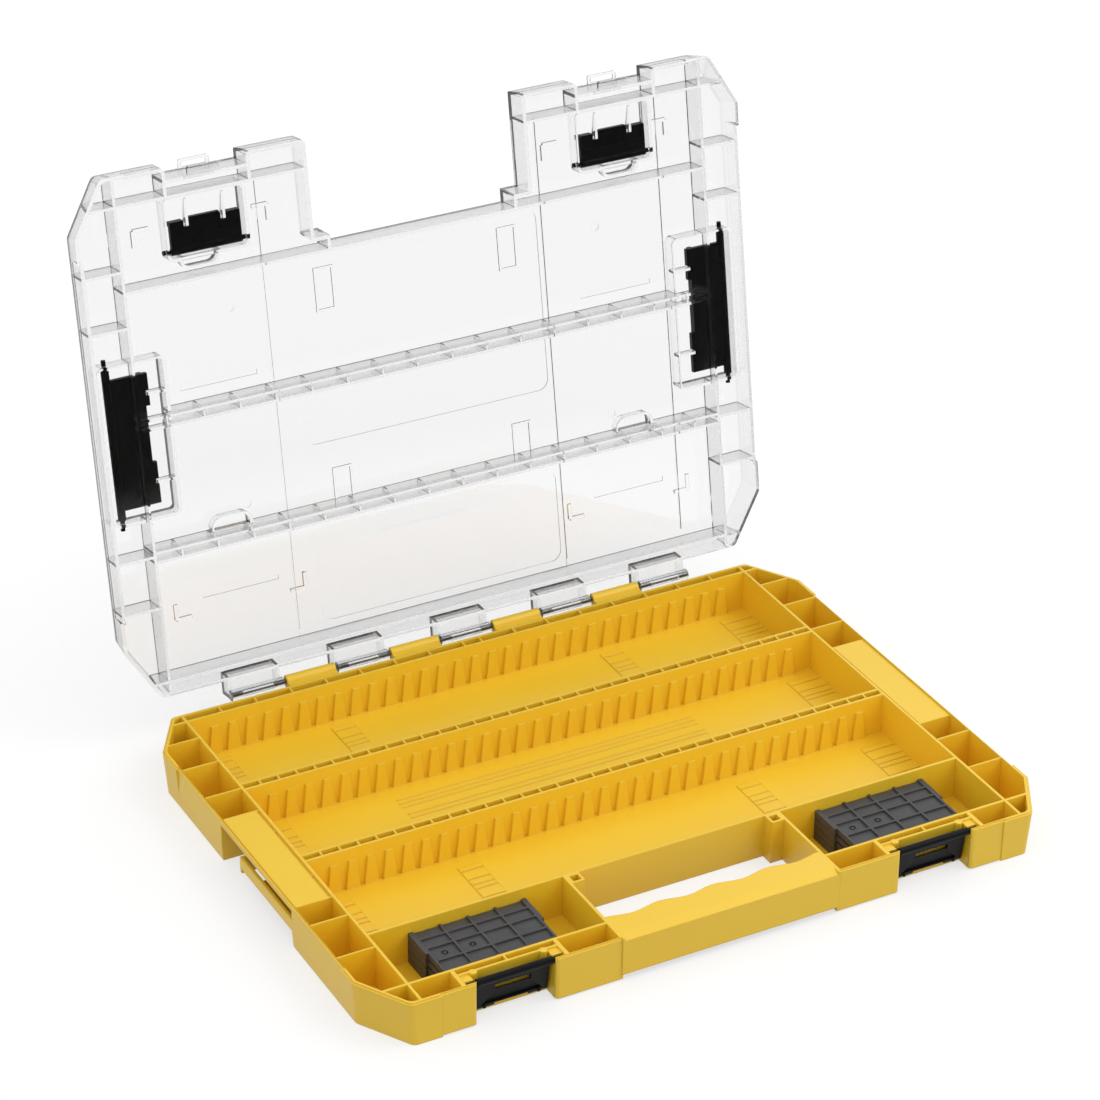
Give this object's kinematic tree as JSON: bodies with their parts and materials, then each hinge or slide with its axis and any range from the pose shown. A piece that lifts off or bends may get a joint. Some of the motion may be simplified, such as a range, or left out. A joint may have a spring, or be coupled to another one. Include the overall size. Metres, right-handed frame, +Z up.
{
  "type": "compartment storage box",
  "caption": "Shallow open tray with long rows for small parts, a waved front handle bar, a clear hinged lid with swinging connectors, hanging front latches and stacks of loose dividers.",
  "frame": {"origin": "middle of the tray's flat underside, on the surface that it stands on", "axes": "+Z up, -Y towards the handle and latches, +Y towards the hinge, +X to the right as seen from the front"},
  "size_m": [0.375, 0.3493, 0.2999],
  "materials": {
    "tray_plastic": "satin, opaque warm yellow",
    "lid_plastic": "clear, gloss",
    "rod_steel": "dark drawn wire",
    "fitting_plastic": "satin, near black",
    "divider_plastic": "fine matt, charcoal"
  },
  "bodies": {
    "base": {"base_tray": "tray_plastic", "hinge_rod": "rod_steel"},
    "lid": {"lid": "lid_plastic"},
    "latch_left": {"latch_left": "fitting_plastic"},
    "front_connector_left": {"front_connector_left": "fitting_plastic"},
    "side_connector_left": {"side_connector_left": "fitting_plastic"},
    "divider_left_1": {"divider_left_1": "divider_plastic"},
    "divider_left_2": {"divider_left_2": "divider_plastic"},
    "divider_left_3": {"divider_left_3": "divider_plastic"},
    "divider_left_4": {"divider_left_4": "divider_plastic"},
    "latch_right": {"latch_right": "fitting_plastic"},
    "front_connector_right": {"front_connector_right": "fitting_plastic"},
    "side_connector_right": {"side_connector_right": "fitting_plastic"},
    "divider_right_1": {"divider_right_1": "divider_plastic"},
    "divider_right_2": {"divider_right_2": "divider_plastic"},
    "divider_right_3": {"divider_right_3": "divider_plastic"},
    "divider_right_4": {"divider_right_4": "divider_plastic"}
  },
  "joints": [
    {"name": "lid_hinge", "type": "hinge", "parent": "base", "child": "lid", "pos_m": [0, 0.14475, 0.0218], "axis": [-1, 0, 0], "range_deg": [-100, 0]},
    {"name": "latch_left_swing", "type": "hinge", "parent": "base", "child": "latch_left", "pos_m": [-0.1156, -0.13405, 0.0216], "axis": [1, 0, 0], "range_deg": [-194, 0]},
    {"name": "latch_right_swing", "type": "hinge", "parent": "base", "child": "latch_right", "pos_m": [0.1156, -0.13405, 0.0216], "axis": [1, 0, 0], "range_deg": [-194, 0]},
    {"name": "front_connector_left_swing", "type": "hinge", "parent": "lid", "child": "front_connector_left", "pos_m": [-0.1157, 0.19716, 0.25281], "axis": [-1, 0, 0], "range_deg": [0, 95]},
    {"name": "front_connector_right_swing", "type": "hinge", "parent": "lid", "child": "front_connector_right", "pos_m": [0.1157, 0.19716, 0.25281], "axis": [-1, 0, 0], "range_deg": [0, 95]},
    {"name": "side_connector_left_swing", "type": "hinge", "parent": "lid", "child": "side_connector_left", "pos_m": [-0.177, 0.18103, 0.16132], "axis": [0, 0.1736, 0.9848], "range_deg": [0, 95]},
    {"name": "side_connector_right_swing", "type": "hinge", "parent": "lid", "child": "side_connector_right", "pos_m": [0.177, 0.18103, 0.16132], "axis": [0, -0.1736, -0.9848], "range_deg": [0, 95]},
    {"name": "divider_left_1_lift", "type": "slide", "parent": "base", "child": "divider_left_1", "axis": [0, 0, 1], "range_m": [0, 0.03]},
    {"name": "divider_left_2_lift", "type": "slide", "parent": "divider_left_1", "child": "divider_left_2", "axis": [0, 0, 1], "range_m": [0, 0.03]},
    {"name": "divider_left_3_lift", "type": "slide", "parent": "divider_left_2", "child": "divider_left_3", "axis": [0, 0, 1], "range_m": [0, 0.03]},
    {"name": "divider_left_4_lift", "type": "slide", "parent": "divider_left_3", "child": "divider_left_4", "axis": [0, 0, 1], "range_m": [0, 0.03]},
    {"name": "divider_right_1_lift", "type": "slide", "parent": "base", "child": "divider_right_1", "axis": [0, 0, 1], "range_m": [0, 0.03]},
    {"name": "divider_right_2_lift", "type": "slide", "parent": "divider_right_1", "child": "divider_right_2", "axis": [0, 0, 1], "range_m": [0, 0.03]},
    {"name": "divider_right_3_lift", "type": "slide", "parent": "divider_right_2", "child": "divider_right_3", "axis": [0, 0, 1], "range_m": [0, 0.03]},
    {"name": "divider_right_4_lift", "type": "slide", "parent": "divider_right_3", "child": "divider_right_4", "axis": [0, 0, 1], "range_m": [0, 0.03]}
  ]
}
